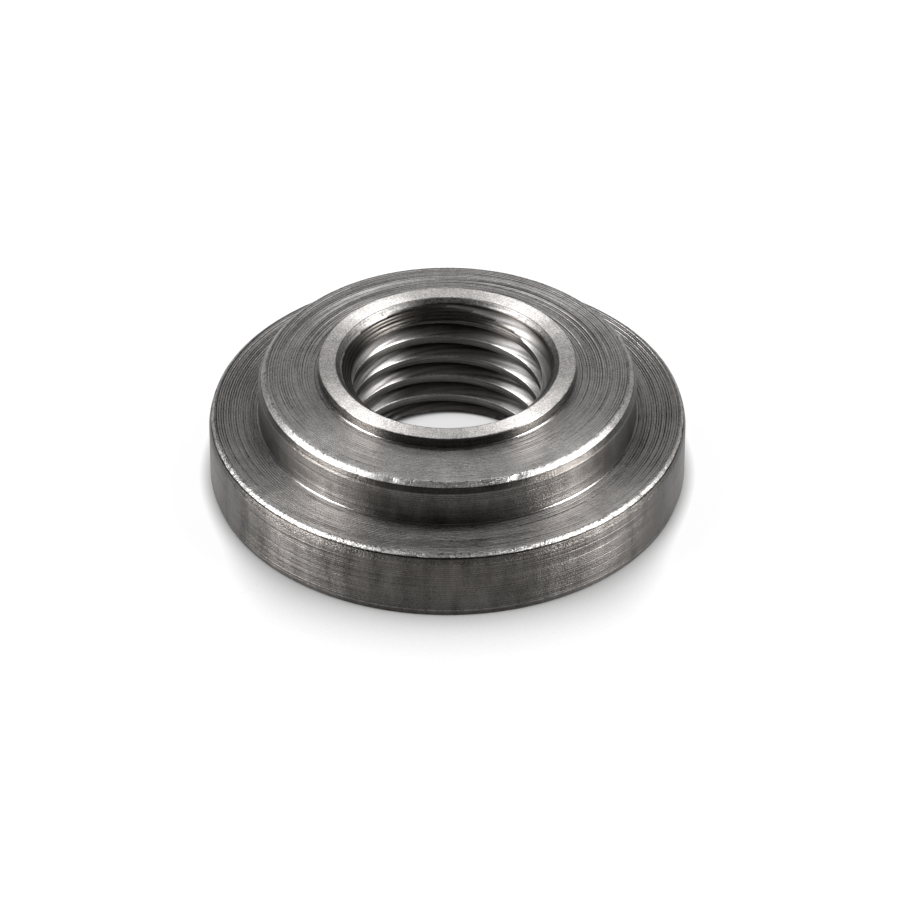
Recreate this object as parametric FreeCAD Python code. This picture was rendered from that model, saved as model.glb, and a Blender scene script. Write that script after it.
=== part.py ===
import FreeCAD, Part
import math
import os

# Round crank lock nut, turned from one bar of steel and tapped right through
# Millimetres. +Z is the thread axis, and the origin is the centre of the clamping face, the flange's underside.
# The nut has no flats: it is a flange, a smaller step and a low collar round the mouth of the thread.

# Thread: 7/16 inch, 20 turns to the inch, right-handed, 60 degree form
thread_diameter = 11.1125
thread_pitch = 1.27
flank_angle = 60.0
thread_root_clearance = 0.04
thread_phase_height = 0.1525

# The thread's crest, measured inwards from its pitch line: what a 25/64 inch tapping drill leaves
crest_height = 0.184

# Countersinks of the thread, both at 45 degrees
mouth_clearance = 0.245
foot_countersink = 0.25

# Collar: the ring of face left between the mouth and the collar's wall, and how far it stands up
collar_rim_width = 0.95
collar_height = 0.65
collar_edge_break = 0.08

# Step: the ledge round the collar, and how far the step stands up
step_ledge_width = 3.15
step_height = 2.5
step_chamfer = 0.26
step_blend_width = 0.13
step_blend_height = 0.32

# Flange: the ledge round the step, and the flange's thickness
flange_ledge_width = 2.6
flange_thickness = 3.9
flange_chamfer = 0.2
flange_blend_width = 0.09
flange_blend_height = 0.38
foot_break_width = 0.12
foot_break_height = 0.38

# Small bevel that the tool's corner leaves where a wall rises from a ledge
tool_corner = 0.1

# How far a cutter runs past the faces that it cuts through, and past the bore's wall
cutter_overrun = 1.0
groove_overrun = 0.05

# The thread's form: flanks that are half a pitch apart on the pitch line, which lies 3/8 of the sharp height in
flank_slope = math.tan(math.radians(flank_angle / 2))
sharp_height = thread_pitch / (2 * flank_slope)
thread_radius = thread_diameter / 2
pitch_line_radius = thread_radius - 3 / 8 * sharp_height
bore_radius = pitch_line_radius - crest_height
root_radius = thread_radius + thread_root_clearance

# Sizes that follow from the ones above
mouth_radius = thread_radius + mouth_clearance
collar_radius = mouth_radius + collar_rim_width
step_radius = collar_radius + step_ledge_width
flange_radius = step_radius + flange_ledge_width
step_top = flange_thickness + step_height
nut_height = step_top + collar_height


def point(radius, height):
    """A point of a turned profile, in the plane through the axis."""
    return FreeCAD.Vector(radius, 0, height)


def revolved(outline, angle=360):
    """The solid that a closed outline of points sweeps about the thread axis."""
    face = Part.Face(Part.makePolygon(outline + outline[:1]))
    return face.revolve(FreeCAD.Vector(0, 0, 0), FreeCAD.Vector(0, 0, 1), angle)


def turned_blank():
    """The nut before drilling: flange, step and collar with their edge breaks, solid to the axis."""
    collar = [
        point(0, nut_height),
        point(collar_radius - collar_edge_break, nut_height),
        point(collar_radius, nut_height - collar_edge_break),
        point(collar_radius, step_top + tool_corner),
        point(collar_radius + tool_corner, step_top),
    ]
    step = [
        point(step_radius - step_blend_width - step_chamfer, step_top),
        point(step_radius - step_blend_width, step_top - step_chamfer),
        point(step_radius, step_top - step_chamfer - step_blend_height),
        point(step_radius, flange_thickness + tool_corner),
        point(step_radius + tool_corner, flange_thickness),
    ]
    flange = [
        point(flange_radius - flange_blend_width - flange_chamfer, flange_thickness),
        point(flange_radius - flange_blend_width, flange_thickness - flange_chamfer),
        point(flange_radius, flange_thickness - flange_chamfer - flange_blend_height),
        point(flange_radius, foot_break_height),
        point(flange_radius - foot_break_width, 0),
        point(0, 0),
    ]
    return revolved(collar + step + flange)


def bore_quarter(quarter):
    """A quarter turn of the tapping hole with its countersinks.

    The wall is bored as four quarters, so no face of the thread's crest runs on for a whole turn.
    """
    mouth_depth = mouth_radius - bore_radius
    profile = [
        point(0, -cutter_overrun),
        point(bore_radius + foot_countersink + cutter_overrun, -cutter_overrun),
        point(bore_radius, foot_countersink),
        point(bore_radius, nut_height - mouth_depth),
        point(mouth_radius + cutter_overrun, nut_height + cutter_overrun),
        point(0, nut_height + cutter_overrun),
    ]
    wedge = revolved(profile, 90)
    wedge.rotate(FreeCAD.Vector(0, 0, 0), FreeCAD.Vector(0, 0, 1), 90 * quarter)
    return wedge


def groove_half_width(radius):
    """Half the thread groove's width, along the axis, at a radius."""
    return thread_pitch / 4 + (pitch_line_radius - radius) * flank_slope


def thread_groove():
    """The helical groove that a tap leaves, run out past both faces of the nut."""
    turns_below = math.ceil((cutter_overrun + thread_phase_height) / thread_pitch) + 1
    start_height = thread_phase_height - turns_below * thread_pitch
    helix_height = nut_height + cutter_overrun + thread_pitch - start_height
    helix = Part.makeLongHelix(thread_pitch, helix_height, bore_radius, 0)
    helix.translate(FreeCAD.Vector(0, 0, start_height))
    inner_radius = bore_radius - groove_overrun
    inner_half = groove_half_width(inner_radius)
    root_half = groove_half_width(root_radius)
    section = [
        point(inner_radius, start_height - inner_half),
        point(root_radius, start_height - root_half),
        point(root_radius, start_height + root_half),
        point(inner_radius, start_height + inner_half),
    ]
    return helix.makePipeShell([Part.makePolygon(section + section[:1])], True, True)


def lock_nut():
    """The finished nut: turned, bored, countersunk and tapped."""
    nut = turned_blank()
    for quarter in range(4):
        nut = nut.cut(bore_quarter(quarter))
    nut = nut.cut(thread_groove())
    return nut.Solids[0]


os.makedirs("parts", exist_ok=True)
lock_nut().exportStep("parts/lock_nut.step")
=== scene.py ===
import math

import bpy
import numpy as np
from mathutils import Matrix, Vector


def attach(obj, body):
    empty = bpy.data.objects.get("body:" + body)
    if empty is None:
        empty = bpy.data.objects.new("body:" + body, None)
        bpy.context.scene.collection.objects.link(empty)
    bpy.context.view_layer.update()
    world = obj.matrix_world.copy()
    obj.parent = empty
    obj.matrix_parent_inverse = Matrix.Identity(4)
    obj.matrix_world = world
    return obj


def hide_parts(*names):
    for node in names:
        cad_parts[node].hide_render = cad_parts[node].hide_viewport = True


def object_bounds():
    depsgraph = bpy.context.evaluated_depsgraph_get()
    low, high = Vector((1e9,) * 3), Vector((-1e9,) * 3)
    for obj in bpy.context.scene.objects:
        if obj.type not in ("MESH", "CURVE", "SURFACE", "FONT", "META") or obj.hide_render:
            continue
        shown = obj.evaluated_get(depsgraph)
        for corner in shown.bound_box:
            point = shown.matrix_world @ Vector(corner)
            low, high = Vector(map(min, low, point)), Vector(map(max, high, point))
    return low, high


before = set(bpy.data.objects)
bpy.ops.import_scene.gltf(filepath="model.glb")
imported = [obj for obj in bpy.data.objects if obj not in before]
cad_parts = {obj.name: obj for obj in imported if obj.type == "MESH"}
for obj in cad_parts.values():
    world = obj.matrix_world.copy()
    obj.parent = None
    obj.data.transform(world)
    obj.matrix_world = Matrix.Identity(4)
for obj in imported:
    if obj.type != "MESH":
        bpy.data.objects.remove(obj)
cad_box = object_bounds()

# Crank lock nut, turned from one bar of steel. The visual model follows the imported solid, in metres, and
# adds the small roundings, burrs, nicks and turning marks of the real surface.
MM = 0.001
FLANGE_RADIUS = (cad_box[1].x - cad_box[0].x) / 2
NUT_HEIGHT = cad_box[1].z

# Thread: right-handed, 20 turns to the inch, and the 45 degree cone that opens it at each end
THREAD_RADIUS = 11.1125 / 2 * MM
THREAD_PITCH = 1.27 * MM
THREAD_PHASE = 0.1525 * MM
FLANK_ANGLE = 60
CREST_HEIGHT = 0.184 * MM
ROOT_CLEARANCE = 0.04 * MM
MOUTH_CLEARANCE = 0.245 * MM
FOOT_CONE = 0.25 * MM
FLANK_SLOPE = math.tan(math.radians(FLANK_ANGLE / 2))
SHARP_HEIGHT = THREAD_PITCH / (2 * FLANK_SLOPE)
PITCH_LINE_RADIUS = THREAD_RADIUS - 3 / 8 * SHARP_HEIGHT
BORE_RADIUS = PITCH_LINE_RADIUS - CREST_HEIGHT
ROOT_RADIUS = THREAD_RADIUS + ROOT_CLEARANCE
MOUTH_RADIUS = THREAD_RADIUS + MOUTH_CLEARANCE

# Half the groove's width along the axis, where its flanks meet the crest and the root
CREST_EDGE = THREAD_PITCH / 4 + (PITCH_LINE_RADIUS - BORE_RADIUS) * FLANK_SLOPE
ROOT_EDGE = THREAD_PITCH / 4 + (PITCH_LINE_RADIUS - ROOT_RADIUS) * FLANK_SLOPE

# Rounding of the crests' edges, and of the crease between the thread and a cone
CREST_ROUNDING = 0.03 * MM
CREST_TRIM = 0.012 * MM
CREST_TRIM_REACH = 0.6 * CREST_ROUNDING
CONE_BLEND = 0.02 * MM

# Turned steps of the outside. A blend is the width and height of the steep facet under a chamfer, and the
# foot's break is another such facet. The lip's foot and end bound the fine crease under the flange's
# chamfer: each is how far it lies in from the flange's wall, and how far down from its top.
COLLAR_RADIUS = MOUTH_RADIUS + 0.95 * MM
COLLAR_HEIGHT = 0.65 * MM
COLLAR_BREAK = 0.05 * MM
FLANGE_LEDGE_WIDTH = 2.6 * MM
STEP_HEIGHT = 2.5 * MM
STEP_RADIUS = FLANGE_RADIUS - FLANGE_LEDGE_WIDTH
STEP_TOP = NUT_HEIGHT - COLLAR_HEIGHT
STEP_CHAMFER = 0.26 * MM
STEP_BLEND = (0.13 * MM, 0.32 * MM)
STEP_EDGE_RADIUS = STEP_RADIUS - STEP_BLEND[0]
FLANGE_TOP = STEP_TOP - STEP_HEIGHT
FLANGE_CHAMFER = 0.2 * MM
FLANGE_BLEND = (0.09 * MM, 0.38 * MM)
FLANGE_EDGE_RADIUS = FLANGE_RADIUS - FLANGE_BLEND[0]
FOOT_BREAK = (0.12 * MM, 0.38 * MM)
LIP_FOOT = (0.135 * MM, 0.235 * MM)
LIP_END = (0.078 * MM, 0.285 * MM)
TOOL_CORNER = 0.05 * MM
MOUTH_ROUNDING = 0.03 * MM

# Mesh: columns round the outside, and half as many round the thread, then the rows on a flank and on each
# side of a crest's edge, and the steps in which the place is sought where a cone cuts the thread
OUTER_COLUMNS = 480
BORE_COLUMNS = OUTER_COLUMNS // 2
FLANK_ROWS = 4
CREST_ROWS = 3
SEARCH_STEPS = 2400

# Rings: how close one lies to each end of a run, and the spacing of the others in millimetres. The plain
# spacing is wider than any run, so a plain run has no others.
HOLD = 0.04 * MM
PLAIN = 9

# Heights between which the bore's grid has points of its own: a little off the rings at its two ends
BORE_FOOT = 0.008 * MM
BORE_HEAD = NUT_HEIGHT - MOUTH_ROUNDING - 0.022 * MM

# Rough rim of the mouth, and the fine undercut beneath it on the left, where the top groove has run out:
# sizes, then the degrees from +X where the undercut starts and ends, and over how many it fades in and out
RIM_FOOT = NUT_HEIGHT - 0.25 * MM
RIM_BLEND = 0.04 * MM
UNDERCUT_HEIGHT = NUT_HEIGHT - 0.27 * MM
UNDERCUT_WIDTH = 0.04 * MM
UNDERCUT_DEPTH = 0.05 * MM
UNDERCUT_FROM = 113
UNDERCUT_TO = 215
UNDERCUT_FADE_IN = 8
UNDERCUT_FADE_OUT = 40

# Wear of the edges: raggedness, in waves round the nut, and nicks with ranges in millimetres
EDGE_RAGGEDNESS = 0.007 * MM
RAGGED_SEED = 100
RAGGED_WAVES = (40, 230)
RAGGED_WAVE_COUNT = 60
NICK_SEED = 11
NICK_LENGTH = (0.09, 0.28)
NICK_WIDTH = (0.05, 0.12)
NICK_DEPTH = (0.004, 0.022)

# Large nicks of the step's edge: degrees from the front towards the right, then length, width and depth
LARGE_NICKS = (
    (-17, 0.26 * MM, 0.12 * MM, 0.06 * MM),
    (21.8, 0.26 * MM, 0.12 * MM, 0.06 * MM),
    (-33, 0.3 * MM, 0.07 * MM, 0.03 * MM),
)

# Values that the mesh hands to the steel. Travel is the distance along the outline in millimetres. In the
# bore it grows by one rate for each millimetre inwards, and falls by the other for each millimetre down.
ATTRIBUTES = ("tone", "rough", "marks", "grain", "wear", "travel")
TRAVEL_INWARD = 0.3
TRAVEL_DOWN = 1.3

# Finishes of a zone: base tone, roughness, turning marks, grain, wear
FINISHES = {
    "rim": (0.20, 0.38, 0.3, 0.85, 0.6),
    "collar_face": (0.585, 0.60, 0.1, 0.85, 0.0),
    "collar_edge": (0.42, 0.32, 0.1, 0.8, 0.6),
    "collar_wall": (0.08, 0.26, 0.3, 0.15, 0.0),
    "ledge": (0.345, 0.31, 0.9, 0.75, 0.0),
    "flange_ledge": (0.28, 0.31, 1.1, 0.75, 0.0),
    "edge": (0.36, 0.38, 0.15, 0.9, 1.0),
    "flange_edge": (0.22, 0.38, 0.15, 1.0, 1.0),
    "bevel": (0.38, 0.42, 0.2, 0.9, 0.4),
    "flange_bevel": (0.38, 0.42, 0.2, 1.05, 0.7),
    "soft_edge": (0.048, 0.34, 0.4, 0.7, 0.3),
    "lip": (0.095, 0.36, 0.1, 1.0, 0.8),
    "foot_lip": (0.17, 0.34, 0.1, 0.8, 0.8),
    "corner": (0.26, 0.25, 0.2, 0.1, 0.0),
    "step_wall": (0.092, 0.33, 0.4, 0.7, 0.0),
    "flange_wall": (0.084, 0.38, 0.5, 0.75, 0.0),
    "flange_blend": (0.075, 0.38, 0.3, 0.9, 0.2),
    # The crease's near-black tone is painted shade in the crease under the flange's chamfer
    "crease": (0.015, 0.50, 0.1, 0.3, 0.6),
    "under": (0.20, 0.42, 0.8, 0.3, 0.0),
    "cone": (0.045, 0.38, 1.0, 0.6, 0.0),
    "land": (0.12, 0.42, 0.75, 0.35, 0.0),
    "flank": (0.47, 0.44, 0.8, 0.35, 0.0),
    # The root's dark tone, blended up the flank by depth, is painted shade in the groove
    "root": (0.05, 0.42, 0.4, 0.3, 0.0),
    # Painted highlight: the bright tone of a crest's upper edge
    "crest_edge": (0.85, 0.36, 0.3, 0.5, 0.6),
}

# Tone of a crest's land at its lower and at its upper edge, as a share of the land's own: painted shade,
# darker towards the lower edge
LAND_BELOW = 0.4
LAND_ABOVE = 1.2

# Turning marks: pitch in millimetres, and how fast the pattern changes on the way round. The regular marks
# of the feed show more where the zone's marks are stronger: two strengths, and the share at each.
FINE_MARKS = (0.06, 1.0)
MIDDLE_MARKS = (0.2, 0.8)
BROAD_MARKS = (0.8, 1.0)
FEED = 0.13
FEED_SWAY = 3.0
FEED_STRENGTHS = (0.8, 1.2)
FEED_SHARES = (0.3, 0.7)

# Grains and clouds: noise cells to the millimetre, then the noise's detail and roughness
SAND = (7.0, 3.0, 0.6)
SPECK = (14.0, 2.0, 0.6)
PITS = (6.0, 2.0, 0.6)
PATCH = (1.3, 3.0, 0.6)
CLOUD = (0.55, 3.0, 0.6)
PATCH_STRETCH = (1.0, 1.0, 0.25)
PIT_FADE = (0.36, 0.46)

# How far each pattern sways the slope of the marks, the tone, the roughness and the relief. Patches sway
# the tone by one gain on walls and by another on faces, told apart by the normal's height.
SLOPE_GAIN = {"fine": 1.1, "middle": 0.15, "broad": 0.1}
TONE_GAIN = {"fine": 2.6, "middle": 0.35, "feed": 1.4, "cloud": 0.5, "speck": 2.3}
ROUGHNESS_GAIN = 0.10
PATCH_GAIN = (1.9, 0.7)
WALL_TO_FACE = (0.0, 0.8)
PIT_TONE = 0.35
RELIEF_DEPTH = 0.04 * MM
RELIEF_STRENGTH = 0.7
RELIEF_GAIN = {"speck": 0.6, "pits": 0.25}

# Green and blue of the steel against its red, where it is light and where it is dark and so warmer, and the
# tones at which that begins and ends
GREEN = (0.965, 0.92)
BLUE = (0.943, 0.85)
WARM_FROM = 0.05
WARM_TO = 0.2
ANISOTROPY = 0.78
ANISOTROPIC_ROTATION = 0.25

# Floor: its size, what it reflects, what it shows as its own light, and the distances from the nut between
# which it blends into plain white
FLOOR_HALF = 6.0
FLOOR_HEIGHT = -0.01 * MM
FLOOR_COLOUR = 0.2
FLOOR_GLOW = 0.76
FLOOR_BLEND = (0.06, 0.3)

# Floor's painted shadow, which darkens the floor's own light round the nut: its reach at the front and
# behind, two places along Y for those, and a normal tilted back
SHADE_FRONT = -13.6 * MM
SHADE_BACK = -2 * MM
SHADE_REACH = 6.9 * MM
SHADE_REACH_BEHIND = 0.7 * MM
SHADE_REACH_POWER = 3.0
SHADE_POWER = 1.7
SHADE_NORMAL = (0, 0.72, 0.69)
SHADE_SAMPLES = 8

# Dark card in front of the nut, and the sky: white at the horizon, half as bright a little higher, dark above
CARD_DISTANCE = 0.045
CARD_HALF_WIDTH = 0.035
CARD_FOOT = 0.006
CARD_TOP = 0.06
CARD_COLOUR = 0.03
SKY_HALF_AT = 0.05
SKY_DARK_AT = 0.25
SKY_DARK = 0.05

# Lamps, all at one distance and of one height: name, azimuth, elevation, width and power. The paired ones
# stand on both sides.
LAMP_DISTANCE = 1.2
LAMP_HEIGHT = 0.42
PAIRED_LAMPS = (
    ("softbox_low", 71, 10, 0.48, 33),
    ("softbox_side", 84, 32, 0.44, 5),
    ("softbox_rear", 113, 52, 0.36, 5),
)
SINGLE_LAMPS = (
    ("softbox_back", 180, 40, 0.84, 0.92),
    ("softbox_top", 180, 77, 0.42, 2.3),
)

# Camera: a long lens that looks along +Y and down by the pitch
CAMERA_PLACE = (0.000138, -0.25038, 0.188299)
CAMERA_PITCH = 36.753
CAMERA_LENS = 237.156


def fillet(before, corner, after, radius, steps):
    """Points of the arc that rounds a corner of an outline."""
    corner = np.array(corner)
    back = np.array(before) - corner
    on = np.array(after) - corner
    back /= np.linalg.norm(back)
    on /= np.linalg.norm(on)
    half = math.acos(np.clip(back @ on, -1, 1)) / 2
    reach = radius / math.tan(half)
    middle = (back + on) / np.linalg.norm(back + on) * radius / math.sin(half)
    start = back * reach - middle
    turn = (math.pi - 2 * half) * math.copysign(1, start[0] * on[1] - start[1] * on[0])
    points = []
    for k in range(steps + 1):
        a = turn * k / steps
        spun = (
            start[0] * math.cos(a) - start[1] * math.sin(a),
            start[0] * math.sin(a) + start[1] * math.cos(a),
        )
        points.append(corner + middle + np.array(spun))
    return points


def run_rings(last, first, spacing, finish, zone):
    """Rings between two arcs: one close to each arc, to hold the run's finish, and others at the spacing."""
    last, first = np.array(last[:2]), np.array(first)
    length = np.linalg.norm(first - last)
    if length < 3 * HOLD:
        return []
    shares = [HOLD / length, 1 - HOLD / length]
    count = round((length - 2 * HOLD) / (spacing * MM))
    shares += [(HOLD + (length - 2 * HOLD) * j / count) / length for j in range(1, count)]
    return [(*(last + (first - last) * share), finish, zone) for share in sorted(shares)]


def turned_outline():
    """Rings of the outside, from the mouth round to the underside: radius, height, finish and zone."""
    collar_top = NUT_HEIGHT
    step_blend_foot = STEP_TOP - STEP_CHAMFER - STEP_BLEND[1]
    flange_blend_foot = FLANGE_TOP - FLANGE_CHAMFER - FLANGE_BLEND[1]
    corners = [
        # radius, height, rounding in mm, arc steps, finish of the arc, spacing and finish of the next run
        (MOUTH_RADIUS, collar_top, 0.05, 4, "rim", PLAIN, "collar_face"),
        (COLLAR_RADIUS - COLLAR_BREAK, collar_top, 0.015, 2, "collar_edge", PLAIN, "collar_edge"),
        (COLLAR_RADIUS, collar_top - COLLAR_BREAK, 0.015, 2, "collar_wall", PLAIN, "collar_wall"),
        (COLLAR_RADIUS, STEP_TOP + TOOL_CORNER, 0.02, 2, "corner", PLAIN, "corner"),
        (COLLAR_RADIUS + TOOL_CORNER, STEP_TOP, 0.02, 2, "corner", PLAIN, "ledge"),
        (STEP_EDGE_RADIUS - STEP_CHAMFER, STEP_TOP, 0.13, 3, "edge", 0.07, "bevel"),
        (STEP_EDGE_RADIUS, STEP_TOP - STEP_CHAMFER, 0.11, 3, "soft_edge", 0.08, "soft_edge"),
        (STEP_RADIUS, step_blend_foot, 0.2, 2, "step_wall", PLAIN, "step_wall"),
        (STEP_RADIUS, FLANGE_TOP + TOOL_CORNER, 0.02, 2, "corner", PLAIN, "corner"),
        (STEP_RADIUS + TOOL_CORNER, FLANGE_TOP, 0.02, 2, "corner", PLAIN, "flange_ledge"),
        (FLANGE_EDGE_RADIUS - FLANGE_CHAMFER, FLANGE_TOP, 0.1, 3, "flange_edge", 0.06, "flange_bevel"),
        (FLANGE_EDGE_RADIUS, FLANGE_TOP - FLANGE_CHAMFER, 0.02, 2, "flange_edge", PLAIN, "flange_edge"),
        # The crease's finish is near black: painted shade
        (FLANGE_RADIUS - LIP_FOOT[0], FLANGE_TOP - LIP_FOOT[1], 0.015, 2, "crease", PLAIN, "crease"),
        (FLANGE_RADIUS - LIP_END[0], FLANGE_TOP - LIP_END[1], 0.02, 2, "flange_blend", 0.09, "flange_blend"),
        (FLANGE_RADIUS, flange_blend_foot, 0.16, 2, "lip", PLAIN, "flange_wall"),
        (FLANGE_RADIUS, FOOT_BREAK[1], 0.16, 2, "foot_lip", 0.1, "flange_blend"),
        (FLANGE_RADIUS - FOOT_BREAK[0], 0, 0.05, 3, "flange_blend", PLAIN, "under"),
    ]
    start = (MOUTH_RADIUS - MOUTH_ROUNDING, collar_top - MOUTH_ROUNDING)
    end = (BORE_RADIUS + FOOT_CONE, 0)
    places = [start] + [c[:2] for c in corners] + [end]
    rings = [(start[0], start[1], "rim", 0)]
    spacing, finish = PLAIN, "rim"
    for k, (radius, height, rounding, steps, arc, next_spacing, next_finish) in enumerate(corners):
        points = fillet(places[k], (radius, height), places[k + 2], rounding * MM, steps)
        rings += run_rings(rings[-1], points[0], spacing, finish, k)
        rings += [(r, z, arc, k) for r, z in points]
        spacing, finish = next_spacing, next_finish
    rings += run_rings(rings[-1], end, spacing, finish, len(corners))
    return rings


def nicks():
    """Dents of the edges: angle, radius and height of the place, then length, width and depth."""
    draw = np.random.default_rng(NICK_SEED)
    step_bevel = (STEP_EDGE_RADIUS - STEP_CHAMFER / 2, STEP_TOP - STEP_CHAMFER / 2)
    flange_bevel = (FLANGE_EDGE_RADIUS - FLANGE_CHAMFER / 2, FLANGE_TOP - FLANGE_CHAMFER / 2)
    edges = [
        # radius, height, how many nicks
        (*step_bevel, 34),
        (STEP_EDGE_RADIUS, STEP_TOP - STEP_CHAMFER, 30),
        (*flange_bevel, 40),
        (FLANGE_EDGE_RADIUS, FLANGE_TOP - FLANGE_CHAMFER, 46),
        (COLLAR_RADIUS - COLLAR_BREAK / 2, NUT_HEIGHT - COLLAR_BREAK / 2, 16),
        (FLANGE_RADIUS - FOOT_BREAK[0] / 2, FOOT_BREAK[1] / 2, 18),
    ]
    found = []
    for radius, height, count in edges:
        for _ in range(count):
            turn = draw.uniform(0, 2 * math.pi)
            length = draw.uniform(*NICK_LENGTH) * MM
            width = draw.uniform(*NICK_WIDTH) * MM
            depth = draw.uniform(*NICK_DEPTH) * MM
            found.append((turn, radius, height, length, width, depth))
    for degrees, length, width, depth in LARGE_NICKS:
        found.append((math.radians(degrees - 90), *step_bevel, length, width, depth))
    return found


def ripple(angles, seed):
    """Smooth noise round a ring, about one unit deep, from waves with a whole number of periods."""
    draw = np.random.default_rng(seed)
    waves = draw.integers(*RAGGED_WAVES, RAGGED_WAVE_COUNT)
    phases = draw.uniform(0, 2 * math.pi, RAGGED_WAVE_COUNT)
    swell = np.zeros_like(angles)
    for wave, phase in zip(waves, phases):
        swell += np.sin(wave * angles + phase)
    return swell / math.sqrt(RAGGED_WAVE_COUNT / 2)


def worn_depth(rings, outline, along, angles):
    """How deep wear has sunk each point of the outside: ragged where the finish is worn, and nicked."""
    sunk = np.zeros((len(rings), len(angles)))
    for k, (_, _, finish, zone) in enumerate(rings):
        wear = FINISHES[finish][ATTRIBUTES.index("wear")]
        if wear:
            sunk[k] = EDGE_RAGGEDNESS * wear * np.abs(ripple(angles, RAGGED_SEED + zone))
    for turn, radius, height, length, width, depth in nicks():
        place = np.argmin(np.hypot(outline[:, 0] - radius, outline[:, 1] - height))
        across = (along - along[place])[:, None] / width
        round_by = ((angles - turn + math.pi) % (2 * math.pi) - math.pi)[None, :] * radius / length
        sunk += depth * np.exp(-(across**2) - round_by**2)
    return sunk


def evenly_round(columns):
    """Angles of the columns of a ring."""
    return np.arange(columns) * 2 * math.pi / columns


def placed(radii, angles, heights):
    """Points at radii, angles and heights about the axis."""
    return np.stack([radii * np.cos(angles), radii * np.sin(angles), heights], axis=-1)


def climb_at(angles):
    """How high the middle of the thread's groove has climbed at an angle."""
    return THREAD_PHASE + THREAD_PITCH * angles / (2 * math.pi)


def from_groove(over):
    """Distance along the axis to the middle of the nearest turn of the groove, from a height over one."""
    return np.abs((over + THREAD_PITCH / 2) % THREAD_PITCH - THREAD_PITCH / 2)


def groove_radius(over):
    """Radius of the thread's surface at a height over the middle of its groove."""
    flank = PITCH_LINE_RADIUS - (from_groove(over) - THREAD_PITCH / 4) / FLANK_SLOPE
    return np.clip(flank, BORE_RADIUS, ROOT_RADIUS)


def cone_radius(z):
    """Radius of the countersinks at a height: the mouth's cone or the foot's, whichever is the wider."""
    return np.maximum(MOUTH_RADIUS - (NUT_HEIGHT - z), BORE_RADIUS + FOOT_CONE - z)


def smooth_max(a, b, width):
    """The larger of two, with the crease between them rounded over a width."""
    near = np.maximum(width - np.abs(a - b), 0) / width
    return np.maximum(a, b) + near**2 * width / 4


def outer_rings():
    """The outside's points by ring and column, and each ring's values. The last ring is the bore's foot."""
    rings = turned_outline()
    angles = evenly_round(OUTER_COLUMNS)
    outline = np.array([ring[:2] for ring in rings])
    run = np.gradient(outline, axis=0)
    outward = np.stack([-run[:, 1], run[:, 0]], axis=1)
    outward /= np.linalg.norm(outward, axis=1)[:, None]
    along = np.concatenate([[0], np.cumsum(np.linalg.norm(np.diff(outline, axis=0), axis=1))])
    sunk = worn_depth(rings, outline, along, angles)
    radii, heights = (outline[:, [n]] - outward[:, [n]] * sunk for n in (0, 1))
    level = np.zeros_like(angles)
    foot = np.maximum(cone_radius(level), groove_radius(-climb_at(angles)))
    points = np.concatenate([placed(radii, angles, heights), [placed(foot, angles, level)]])
    finish = [FINISHES[ring[2]] for ring in rings] + [FINISHES["under"]]
    travel = np.append(along, along[-1] + FOOT_CONE) / MM
    return points, np.column_stack([finish, travel])


def outer_faces(ring_count):
    """Faces between each ring of the outside and the next."""
    columns = np.arange(OUTER_COLUMNS)
    following = (columns + 1) % OUTER_COLUMNS
    faces = []
    for k in range(ring_count - 1):
        near, far = k * OUTER_COLUMNS, (k + 1) * OUTER_COLUMNS
        quads = np.stack([near + columns, far + columns, far + following, near + following], axis=1)
        faces += quads.tolist()
    return faces


def thread_rows():
    """Rows of one pitch, as heights over the groove's middle: more of them at the edges of the crest."""
    step = CREST_ROUNDING / 2
    half = [0, ROOT_EDGE - step / 2, ROOT_EDGE + step / 2]
    half += [ROOT_EDGE + (CREST_EDGE - ROOT_EDGE) * k / (FLANK_ROWS + 1) for k in range(1, FLANK_ROWS + 1)]
    half += [CREST_EDGE + step * k for k in range(-CREST_ROWS, CREST_ROWS + 1)]
    half += [(half[-1] + THREAD_PITCH / 2) / 2, THREAD_PITCH / 2]
    return [-h for h in half[:0:-1]] + half[:-1]


def bore_grid():
    """The bore's grid by column and row: angles, heights, and heights over the middle of the groove.

    The rows climb with the thread. Where a column passes from thread to cone, its nearest row moves there.
    """
    turns = math.ceil(NUT_HEIGHT / THREAD_PITCH) + 1
    rows = np.array([row + THREAD_PITCH * k for k in range(-1, turns) for row in thread_rows()])
    angles = evenly_round(BORE_COLUMNS)[:, None]
    climb = climb_at(angles)
    heights = rows[None, :] + climb
    fine = np.linspace(0, NUT_HEIGHT, SEARCH_STEPS)
    for column, lift in enumerate(climb[:, 0]):
        opened = cone_radius(fine) > groove_radius(fine - lift)
        for place in np.flatnonzero(opened[1:] != opened[:-1]):
            nearest = np.argmin(np.abs(heights[column] - fine[place]))
            heights[column, nearest] = fine[place]
    return angles, heights, heights - climb


def bore_radii(angles, heights, over):
    """Radii of the bore's grid: thread and cones, with rounded crests and the undercut beneath the rim."""
    threaded = groove_radius(over)
    opened = cone_radius(heights)
    radii = smooth_max(threaded, opened, CONE_BLEND)
    trimmed = CREST_TRIM * np.exp(-(((from_groove(over) - CREST_EDGE) / CREST_TRIM_REACH) ** 2))
    radii += trimmed * (opened <= threaded)
    cut = UNDERCUT_DEPTH * np.exp(-(((heights - UNDERCUT_HEIGHT) / UNDERCUT_WIDTH) ** 2))
    degrees = np.degrees(angles)
    cut = cut * np.clip((degrees - UNDERCUT_FROM) / UNDERCUT_FADE_IN, 0, 1)
    return radii + cut * np.clip((UNDERCUT_TO - degrees) / UNDERCUT_FADE_OUT, 0, 1)


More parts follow.
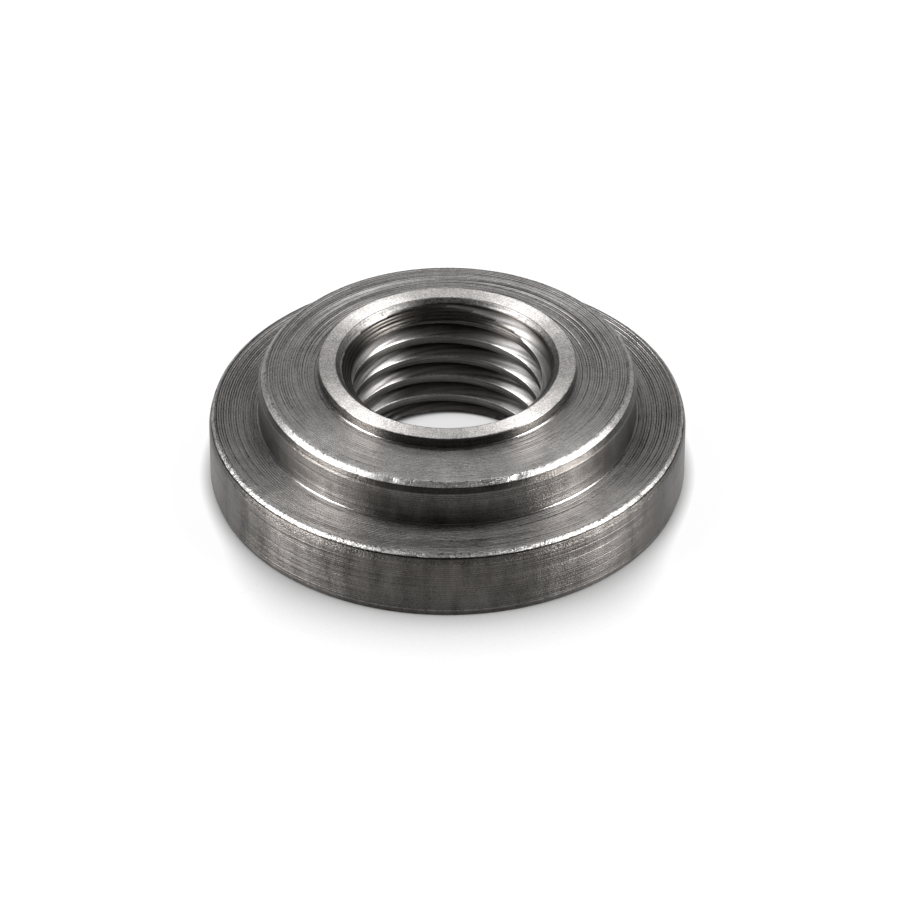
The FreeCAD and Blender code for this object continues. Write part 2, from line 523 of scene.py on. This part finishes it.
def bore_values(heights, over, radii):
    """Values of the bore's points: the finish of land, flank, root, cone or rim, with painted shade on the
    lands and in the groove and a painted highlight on the crests' upper edges, and the travel.
    """
    zone = {name: np.array(finish) for name, finish in FINISHES.items()}
    # Painted shade in the groove: the tone falls from the flank's to the root's dark one with depth
    threaded = groove_radius(over)
    depth = ((threaded - BORE_RADIUS) / (ROOT_RADIUS - BORE_RADIUS))[:, None]
    thread = zone["flank"] * (1 - depth) + zone["root"] * depth

    # Place on a crest's land: 0 at its lower edge, 1 at its upper edge, and more on the flank above it. The
    # land's tone is scaled along it as painted shade, darker towards the lower edge.
    on_land = (over - CREST_EDGE + CREST_ROUNDING / 2) % THREAD_PITCH / (THREAD_PITCH - 2 * CREST_EDGE)
    land = zone["land"] * np.ones_like(depth)
    land[:, 0] *= LAND_BELOW + (LAND_ABOVE - LAND_BELOW) * np.clip(on_land, 0, 1)
    mix = np.where(depth > 0, thread, land)

    # Painted highlight on the crest's upper edge, but not on its lower one, and not where a cone has cut it
    bright = np.clip(1 - ((from_groove(over) - CREST_EDGE) / CREST_ROUNDING) ** 2, 0, 1)
    bright *= (cone_radius(heights) < threaded + CONE_BLEND / 2) & (on_land > 0.5) & (on_land < 1.5)
    bright = bright[:, None]
    mix = mix * (1 - bright) + zone["crest_edge"] * bright

    on_cone = (np.abs(radii - cone_radius(heights)) < CONE_BLEND)[:, None]
    mix = np.where(on_cone, zone["cone"], mix)
    rim = np.clip((heights - RIM_FOOT) / RIM_BLEND, 0, 1)[:, None]
    mix = mix * (1 - rim) + zone["rim"] * rim
    down = NUT_HEIGHT - heights - MOUTH_ROUNDING
    inward = MOUTH_RADIUS - radii - MOUTH_ROUNDING
    return np.column_stack([mix, (TRAVEL_INWARD * inward - TRAVEL_DOWN * down) / MM])


def grid_numbers(heights, inside, ring_count):
    """The vertex of each place of the bore's grid: its own, or past an end the outer ring's even column."""
    top_ring = 2 * np.arange(BORE_COLUMNS)[:, None] + np.zeros_like(heights, int)
    foot_ring = (ring_count - 1) * OUTER_COLUMNS + top_ring
    numbers = np.where(heights < BORE_HEAD, foot_ring, top_ring)
    numbers[inside] = ring_count * OUTER_COLUMNS + np.arange(inside.sum())
    return numbers


def distinct(corners):
    """The corners of a face, without those that repeat the one before."""
    face = [c for k, c in enumerate(corners) if k == 0 or c != corners[k - 1]]
    return face[:-1] if face[0] == face[-1] else face


def with_between(face, pair, between):
    """A face with one more corner between the two of a pair."""
    for n in range(len(face)):
        if {face[n], face[(n + 1) % len(face)]} == pair:
            return face[: n + 1] + [between] + face[n + 1 :]
    return face


def bore_faces(numbers, ring_count):
    """Faces of the bore's grid. One with an edge on an outer ring takes in the ring's odd column there."""
    ring_end = ring_count * OUTER_COLUMNS

    # Beside the last column stands the first one, with its rows taken a pitch higher. Past their end it is
    # vertex 0, on the mouth's ring.
    per_turn = len(thread_rows())
    after_a_turn = np.append(numbers[0][per_turn:], [0] * per_turn)
    faces = []
    for column, (here, beside) in enumerate(zip(numbers, [*numbers[1:], after_a_turn])):
        for j in range(len(here) - 1):
            face = distinct([here[j], beside[j], beside[j + 1], here[j + 1]])
            if len(face) < 3:
                continue
            on_ring = {c for c in face if c < ring_end}
            if len(on_ring) == 2:
                ring_start = 0 if min(on_ring) < OUTER_COLUMNS else ring_end - OUTER_COLUMNS
                face = with_between(face, on_ring, ring_start + 2 * column + 1)
            faces.append([int(c) for c in reversed(face)])
    return faces


def lock_nut_mesh():
    """The nut as one closed mesh: rings of the outside, and the bore's grid that climbs with the thread."""
    rings, ring_values = outer_rings()
    angles, heights, over = bore_grid()
    radii = bore_radii(angles, heights, over)
    inside = (heights > BORE_FOOT) & (heights < BORE_HEAD)
    points = np.concatenate([rings.reshape(-1, 3), placed(radii, angles, heights)[inside]])
    outer_values = np.repeat(ring_values, OUTER_COLUMNS, axis=0)
    values = np.concatenate([outer_values, bore_values(heights[inside], over[inside], radii[inside])])
    numbers = grid_numbers(heights, inside, len(rings))
    return points, values, outer_faces(len(rings)) + bore_faces(numbers, len(rings))


def joined(tree, value, socket):
    """Links a socket to another, or sets it."""
    if isinstance(value, bpy.types.NodeSocket):
        tree.links.new(value, socket)
    else:
        socket.default_value = value


def worked(tree, kind, *values, **settings):
    """A node of a kind with its inputs in order; its first output."""
    made = tree.nodes.new(kind)
    for name, value in settings.items():
        setattr(made, name, value)
    for socket, value in zip(made.inputs, values):
        joined(tree, value, socket)
    return made.outputs[0]


def calc(tree, operation, *values, clamp=False):
    """A Math node."""
    return worked(tree, "ShaderNodeMath", *values, operation=operation, use_clamp=clamp)


def total(tree, first, *others):
    """The sum of several values."""
    for other in others:
        first = calc(tree, "ADD", first, other)
    return first


def product(tree, a, b):
    """Two values multiplied."""
    return calc(tree, "MULTIPLY", a, b)


def centred(tree, value, gain):
    """A 0 to 1 value moved to lie round 0, times a gain."""
    return product(tree, calc(tree, "SUBTRACT", value, 0.5), gain)


def ranged(tree, value, source, target):
    """A value's place in one range, taken to the same place in another and held within it."""
    return worked(tree, "ShaderNodeMapRange", value, *source, *target)


def vector(tree, operation, *values):
    """A Vector Math node."""
    return worked(tree, "ShaderNodeVectorMath", *values, operation=operation)


def scaled(tree, value, factor):
    """A vector times a number."""
    made = vector(tree, "SCALE", value)
    joined(tree, factor, made.node.inputs["Scale"])
    return made


def combined(tree, x, y, z):
    """A vector from its three parts."""
    return worked(tree, "ShaderNodeCombineXYZ", x, y, z)


def separated(tree, value):
    """The three parts of a vector, as outputs X, Y and Z."""
    made = tree.nodes.new("ShaderNodeSeparateXYZ")
    tree.links.new(value, made.inputs[0])
    return made.outputs


def noise(tree, place, scale, detail, roughness=0.5):
    """A Noise node's value, from 0 to 1."""
    made = tree.nodes.new("ShaderNodeTexNoise")
    joined(tree, place, made.inputs["Vector"])
    made.inputs["Scale"].default_value = scale
    made.inputs["Detail"].default_value = detail
    made.inputs["Roughness"].default_value = roughness
    return made.outputs["Fac"]


def attribute(tree, name):
    """A value that the mesh holds at its points."""
    made = tree.nodes.new("ShaderNodeAttribute")
    made.attribute_name = name
    return made.outputs["Fac"]


def grey(value):
    """A colour without a hue."""
    return (value, value, value, 1)


def new_material(name):
    """A material with nodes."""
    material = bpy.data.materials.new(name)
    material.use_nodes = True
    return material


def steel_patterns(tree, place, ahead, zone):
    """Noises of the steel by name: marks in rings round the axis, and grains and clouds in space."""

    def rings(pitch, wander):
        """Noise that changes along the outline, once in a pitch, and slowly on the way round."""
        up = combined(tree, 0.0, 0.0, calc(tree, "DIVIDE", zone["travel"], pitch))
        return noise(tree, vector(tree, "ADD", scaled(tree, ahead, wander), up), 1.0, 1.0)

    found = {"fine": rings(*FINE_MARKS), "middle": rings(*MIDDLE_MARKS), "broad": rings(*BROAD_MARKS)}
    found["patch"] = noise(tree, vector(tree, "MULTIPLY", place, PATCH_STRETCH), *PATCH)
    found["speck"] = noise(tree, place, *SPECK)
    found["sand"] = noise(tree, place, *SAND)
    found["cloud"] = noise(tree, place, *CLOUD)
    pits = ranged(tree, noise(tree, place, *PITS), PIT_FADE, (1.0, 0.0))
    found["pits"] = product(tree, pits, zone["wear"])

    # Regular waves of the tool's feed, which come and go with the broad marks
    sway = product(tree, found["broad"], FEED_SWAY)
    phase = calc(tree, "MULTIPLY_ADD", zone["travel"], 2 * math.pi / FEED, sway)
    regular = ranged(tree, zone["marks"], FEED_STRENGTHS, FEED_SHARES)
    found["feed"] = product(tree, calc(tree, "SINE", phase), product(tree, found["broad"], regular))
    return found


def marked_normal(tree, normal, ahead, zone, pattern):
    """The surface's normal, tilted across the turning marks and roughened by the grain."""
    sways = [centred(tree, pattern[name], gain) for name, gain in SLOPE_GAIN.items()]
    slope = product(tree, total(tree, *sways, pattern["feed"]), zone["marks"])
    onward = vector(tree, "CROSS_PRODUCT", combined(tree, 0.0, 0.0, 1.0), ahead)
    tilt = scaled(tree, vector(tree, "CROSS_PRODUCT", normal, onward), slope)
    marked = vector(tree, "NORMALIZE", vector(tree, "ADD", normal, tilt))

    relief = total(tree, pattern["sand"], product(tree, pattern["speck"], RELIEF_GAIN["speck"]))
    relief = calc(tree, "SUBTRACT", relief, product(tree, pattern["pits"], RELIEF_GAIN["pits"]))
    bump = tree.nodes.new("ShaderNodeBump")
    bump.inputs["Distance"].default_value = RELIEF_DEPTH
    strength = product(tree, product(tree, zone["grain"], zone["grain"]), RELIEF_STRENGTH)
    joined(tree, strength, bump.inputs["Strength"])
    joined(tree, relief, bump.inputs["Height"])
    joined(tree, marked, bump.inputs["Normal"])
    return bump.outputs[0]


def steel_colour(tree, normal, zone, pattern):
    """The zone's own tone, streaked by the marks, clouded, and pitted where the edges are worn."""
    marks = [centred(tree, pattern[name], TONE_GAIN[name]) for name in ("fine", "middle")]
    marks.append(product(tree, pattern["feed"], TONE_GAIN["feed"]))
    marks = product(tree, total(tree, *marks), zone["marks"])
    cloud = centred(tree, pattern["cloud"], TONE_GAIN["cloud"])
    faces_up = calc(tree, "ABSOLUTE", separated(tree, normal)["Z"])
    patchy = ranged(tree, faces_up, WALL_TO_FACE, PATCH_GAIN)
    smudge = product(tree, centred(tree, pattern["patch"], patchy), zone["grain"])
    speck = product(tree, centred(tree, pattern["speck"], TONE_GAIN["speck"]), zone["grain"])
    streak = total(tree, marks, cloud, smudge, speck)
    shade = product(tree, zone["tone"], total(tree, streak, 1.0))
    shade = product(tree, shade, ranged(tree, pattern["pits"], (0.0, 1.0), (1.0, PIT_TONE)))
    warmth = ranged(tree, shade, (WARM_FROM, WARM_TO), (1.0, 0.0))
    green, blue = (ranged(tree, warmth, (0.0, 1.0), ends) for ends in (GREEN, BLUE))
    return scaled(tree, combined(tree, 1.0, green, blue), shade)


def turned_steel():
    """Steel as it leaves the lathe: marks that run round the axis, a sandy grain, bright worn edges."""
    material = new_material("turned_steel")
    tree = material.node_tree
    shader = tree.nodes["Principled BSDF"]
    zone = {name: attribute(tree, name) for name in ATTRIBUTES}
    normal = tree.nodes.new("ShaderNodeNewGeometry").outputs["Normal"]
    place = scaled(tree, tree.nodes.new("ShaderNodeTexCoord").outputs["Object"], 1 / MM)
    x, y, _ = separated(tree, place)
    ahead = vector(tree, "NORMALIZE", combined(tree, x, y, 0.0))
    pattern = steel_patterns(tree, place, ahead, zone)
    joined(tree, marked_normal(tree, normal, ahead, zone, pattern), shader.inputs["Normal"])
    joined(tree, steel_colour(tree, normal, zone, pattern), shader.inputs["Base Color"])
    sways = [centred(tree, pattern[name], ROUGHNESS_GAIN) for name in ("middle", "sand")]
    joined(tree, total(tree, zone["rough"], *sways), shader.inputs["Roughness"])
    shader.inputs["Metallic"].default_value = 1.0
    shader.inputs["Anisotropic"].default_value = ANISOTROPY
    shader.inputs["Anisotropic Rotation"].default_value = ANISOTROPIC_ROTATION
    tangent = tree.nodes.new("ShaderNodeTangent")
    tangent.direction_type = "RADIAL"
    tangent.axis = "Z"
    joined(tree, tangent.outputs[0], shader.inputs["Tangent"])
    return material


def lock_nut():
    """The turned nut, which stands for the solid of the same name."""
    points, values, faces = lock_nut_mesh()
    mesh = bpy.data.meshes.new("turned_nut")
    mesh.from_pydata(points.tolist(), [], faces)
    mesh.validate()
    for column, name in enumerate(ATTRIBUTES):
        layer = mesh.attributes.new(name, "FLOAT", "POINT")
        layer.data.foreach_set("value", values[:, column].astype(np.float32))
    mesh.polygons.foreach_set("use_smooth", [True] * len(mesh.polygons))
    mesh.materials.append(turned_steel())
    nut = bpy.data.objects.new("turned_nut", mesh)
    bpy.context.scene.collection.objects.link(nut)
    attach(nut, "root")
    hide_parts("lock_nut")


def sheet(name, corners, material):
    """A flat piece of the studio with four corners."""
    mesh = bpy.data.meshes.new(name)
    mesh.from_pydata(corners, [], [[0, 1, 2, 3]])
    mesh.materials.append(material)
    made = bpy.data.objects.new(name, mesh)
    bpy.context.scene.collection.objects.link(made)
    return made


def shaded_glow(tree, where, seen):
    """The floor's own light: dimmed by a painted shadow of the nut, whose reach falls from the front
    backwards.
    """
    ahead = ranged(tree, separated(tree, where)["Y"], (SHADE_FRONT, SHADE_BACK), (1.0, 0.0))
    ahead = calc(tree, "POWER", ahead, SHADE_REACH_POWER)
    reach = calc(tree, "MULTIPLY_ADD", ahead, SHADE_REACH - SHADE_REACH_BEHIND, SHADE_REACH_BEHIND)
    painted_shadow_ao = tree.nodes.new("ShaderNodeAmbientOcclusion")
    painted_shadow_ao.samples = SHADE_SAMPLES
    painted_shadow_ao.inputs["Normal"].default_value = SHADE_NORMAL
    joined(tree, reach, painted_shadow_ao.inputs["Distance"])
    own = product(tree, calc(tree, "POWER", painted_shadow_ao.outputs["AO"], SHADE_POWER), FLOOR_GLOW)
    glow = tree.nodes.new("ShaderNodeEmission")
    joined(tree, product(tree, seen, own), glow.inputs["Strength"])
    return glow.outputs[0]


def floor_white():
    """Pale floor that lamps light and the nut shades, and which blends into plain white further out.

    Eye, mirror and glass rays see a part of its white as its own light, with a painted shadow of the nut in
    it.
    """
    material = new_material("floor")
    tree = material.node_tree
    tree.nodes.remove(tree.nodes["Principled BSDF"])
    where = tree.nodes.new("ShaderNodeTexCoord").outputs["Object"]
    paths = tree.nodes.new("ShaderNodeLightPath").outputs
    seen = calc(tree, "ADD", paths["Is Camera Ray"], paths["Is Glossy Ray"], clamp=True)
    seen = calc(tree, "ADD", seen, paths["Is Transmission Ray"], clamp=True)
    lit = tree.nodes.new("ShaderNodeBsdfDiffuse")
    lit.inputs["Color"].default_value = grey(FLOOR_COLOUR)
    near = tree.nodes.new("ShaderNodeAddShader")
    tree.links.new(lit.outputs[0], near.inputs[0])
    tree.links.new(shaded_glow(tree, where, seen), near.inputs[1])
    white = tree.nodes.new("ShaderNodeEmission")
    joined(tree, seen, white.inputs["Strength"])
    distance = vector(tree, "LENGTH", where).node.outputs["Value"]
    blend = tree.nodes.new("ShaderNodeMixShader")
    tree.links.new(ranged(tree, distance, FLOOR_BLEND, (0.0, 1.0)), blend.inputs[0])
    tree.links.new(near.outputs[0], blend.inputs[1])
    tree.links.new(white.outputs[0], blend.inputs[2])
    tree.links.new(blend.outputs[0], tree.nodes["Material Output"].inputs["Surface"])
    return material


def studio_floor():
    """The wide floor, just below the nut."""
    half = FLOOR_HALF
    corners = [(-half, -half), (half, -half), (half, half), (-half, half)]
    floor = sheet("floor", [(x, y, FLOOR_HEIGHT) for x, y in corners], floor_white())


def dark_card():
    """A dark card on the camera's side, which the front of the metal mirrors. The camera doesn't see it."""
    material = new_material("dark_card")
    shader = material.node_tree.nodes["Principled BSDF"]
    shader.inputs["Base Color"].default_value = grey(CARD_COLOUR)
    shader.inputs["Roughness"].default_value = 1.0
    left, right = -CARD_HALF_WIDTH, CARD_HALF_WIDTH
    corners = [(left, CARD_FOOT), (right, CARD_FOOT), (right, CARD_TOP), (left, CARD_TOP)]
    card = sheet("dark_card", [(x, -CARD_DISTANCE, z) for x, z in corners], material)
    card.visible_camera = False


def studio_world():
    """White round the horizon, dark overhead."""
    world = bpy.data.worlds.new("studio")
    world.use_nodes = True
    bpy.context.scene.world = world
    tree = world.node_tree
    direction = tree.nodes.new("ShaderNodeTexCoord").outputs["Generated"]
    ramp = tree.nodes.new("ShaderNodeValToRGB")
    tree.links.new(separated(tree, direction)["Z"], ramp.inputs[0])
    stops = ramp.color_ramp.elements
    stops[0].position, stops[0].color = 0.0, grey(1.0)
    stops[1].position, stops[1].color = SKY_DARK_AT, grey(SKY_DARK)
    stops.new(SKY_HALF_AT).color = grey(0.5)
    tree.links.new(ramp.outputs[0], tree.nodes["Background"].inputs["Color"])


def softbox(name, azimuth, elevation, width, power):
    """A soft rectangular lamp that faces the nut. Azimuth 0 is the camera's side, and 90 is +X."""
    lamp = bpy.data.lights.new(name, "AREA")
    lamp.shape = "RECTANGLE"
    lamp.size = width
    lamp.size_y = LAMP_HEIGHT
    lamp.energy = power
    around, above = math.radians(azimuth), math.radians(elevation)
    away = Vector((math.sin(around) * math.cos(above), -math.cos(around) * math.cos(above), math.sin(above)))
    made = bpy.data.objects.new(name, lamp)
    made.location = away * LAMP_DISTANCE
    made.rotation_euler = (-away).to_track_quat("-Z", "Y").to_euler()
    bpy.context.scene.collection.objects.link(made)


def studio_lamps():
    """The pairs of lamps on both sides, then the two behind and above."""
    for side in (-1, 1):
        for name, azimuth, elevation, width, power in PAIRED_LAMPS:
            softbox(name, azimuth * side, elevation, width, power)
    for lamp in SINGLE_LAMPS:
        softbox(*lamp)


def camera():
    """The camera at the photo's viewing angle."""
    lens = bpy.data.cameras.new("camera")
    lens.sensor_width = 36
    lens.lens = CAMERA_LENS
    lens.clip_start = 0.01
    lens.clip_end = 50
    eye = bpy.data.objects.new("camera", lens)
    eye.location = CAMERA_PLACE
    eye.rotation_euler = (math.radians(90 - CAMERA_PITCH), 0, 0)
    bpy.context.scene.collection.objects.link(eye)
    bpy.context.scene.camera = eye


lock_nut()
studio_floor()
studio_world()
dark_card()
studio_lamps()
camera()
bpy.context.scene.view_settings.view_transform = "Standard"
